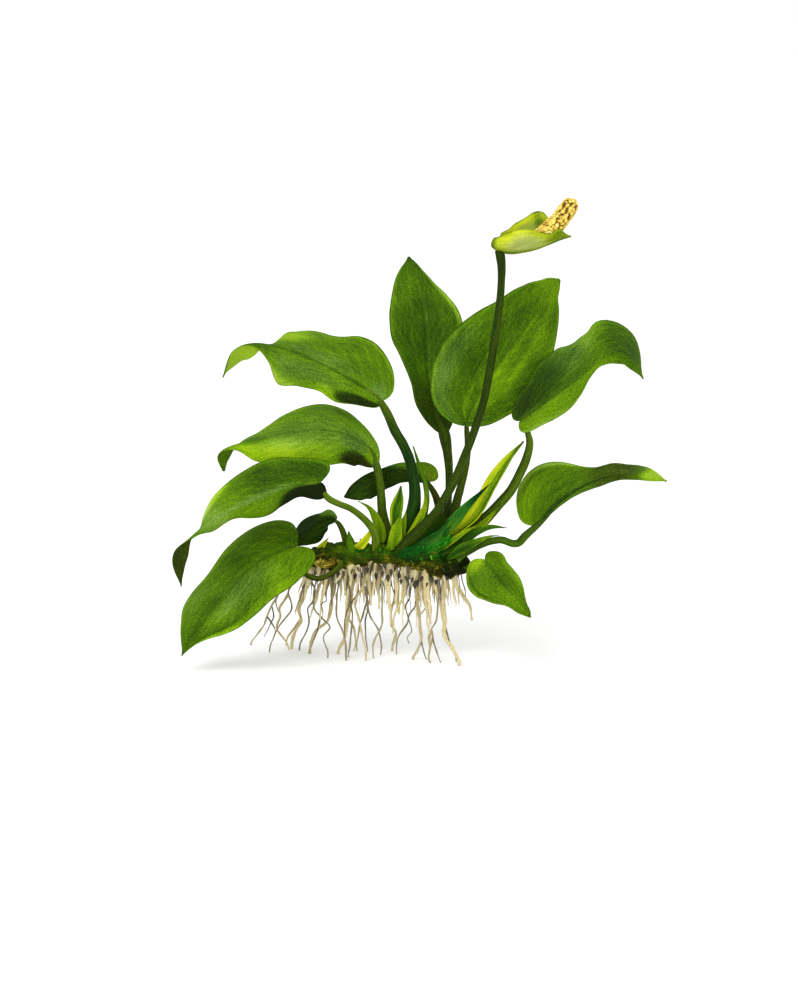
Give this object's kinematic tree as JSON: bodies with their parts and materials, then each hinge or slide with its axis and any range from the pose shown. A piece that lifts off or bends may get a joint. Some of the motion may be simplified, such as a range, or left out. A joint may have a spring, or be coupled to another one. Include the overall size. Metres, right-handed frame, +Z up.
{
  "type": "anubias plant",
  "caption": "Bare-rooted flowering anubias: creeping rhizome with roots, broad stalked leaves and one spathe with spadix.",
  "frame": {"origin": "on the surface that the trimmed root ends stand on, under the middle of the plant's outline", "axes": "+X along the rhizome from its old end to its growing crown, +Y away from the front, +Z up"},
  "size_m": [0.1978, 0.0884, 0.1884],
  "materials": {
    "leaf": "leathery green leaf with a soft sheen",
    "stalk": "smooth dark green stalk",
    "young_leaf": "fresh yellow-green young leaf",
    "sheath": "dark green leaf sheath",
    "rhizome": "rough olive-brown rhizome",
    "root": "matt pale beige root",
    "spathe": "thin yellow-green spathe",
    "spadix": "matt cream-yellow knobbly spadix"
  },
  "bodies": {
    "root": {"bract_lower": "young_leaf", "bract_upper": "young_leaf", "bud": "young_leaf", "leaf_arching_right": "leaf", "leaf_broad": "leaf", "leaf_left": "leaf", "leaf_low_left": "leaf", "leaf_low_right": "leaf", "leaf_middle_left": "leaf", "leaf_small_center": "leaf", "leaf_small_folded": "leaf", "leaf_tall_back": "leaf", "leaf_upper_left": "leaf", "leaf_upper_right": "leaf", "peduncle": "stalk", "rhizome": "rhizome", "rolled_leaf": "young_leaf", "root_01": "root", "root_02": "root", "root_03": "root", "root_04": "root", "root_05": "root", "root_06": "root", "root_07": "root", "root_08": "root", "root_09": "root", "root_10": "root", "root_11": "root", "root_12": "root", "root_13": "root", "root_14": "root", "root_15": "root", "root_16": "root", "root_17": "root", "root_18": "root", "sheath_front": "sheath", "sheath_left": "sheath", "spadix": "spadix", "spathe": "spathe", "spear_leaf": "young_leaf", "stalk_arching_right": "stalk", "stalk_broad": "stalk", "stalk_left": "stalk", "stalk_low_left": "stalk", "stalk_low_right": "stalk", "stalk_middle_left": "stalk", "stalk_small_center": "stalk", "stalk_small_folded": "stalk", "stalk_tall_back": "stalk", "stalk_upper_left": "stalk", "stalk_upper_right": "stalk", "thin_shoot": "young_leaf", "upright_leaflet": "young_leaf"}
  },
  "joints": []
}
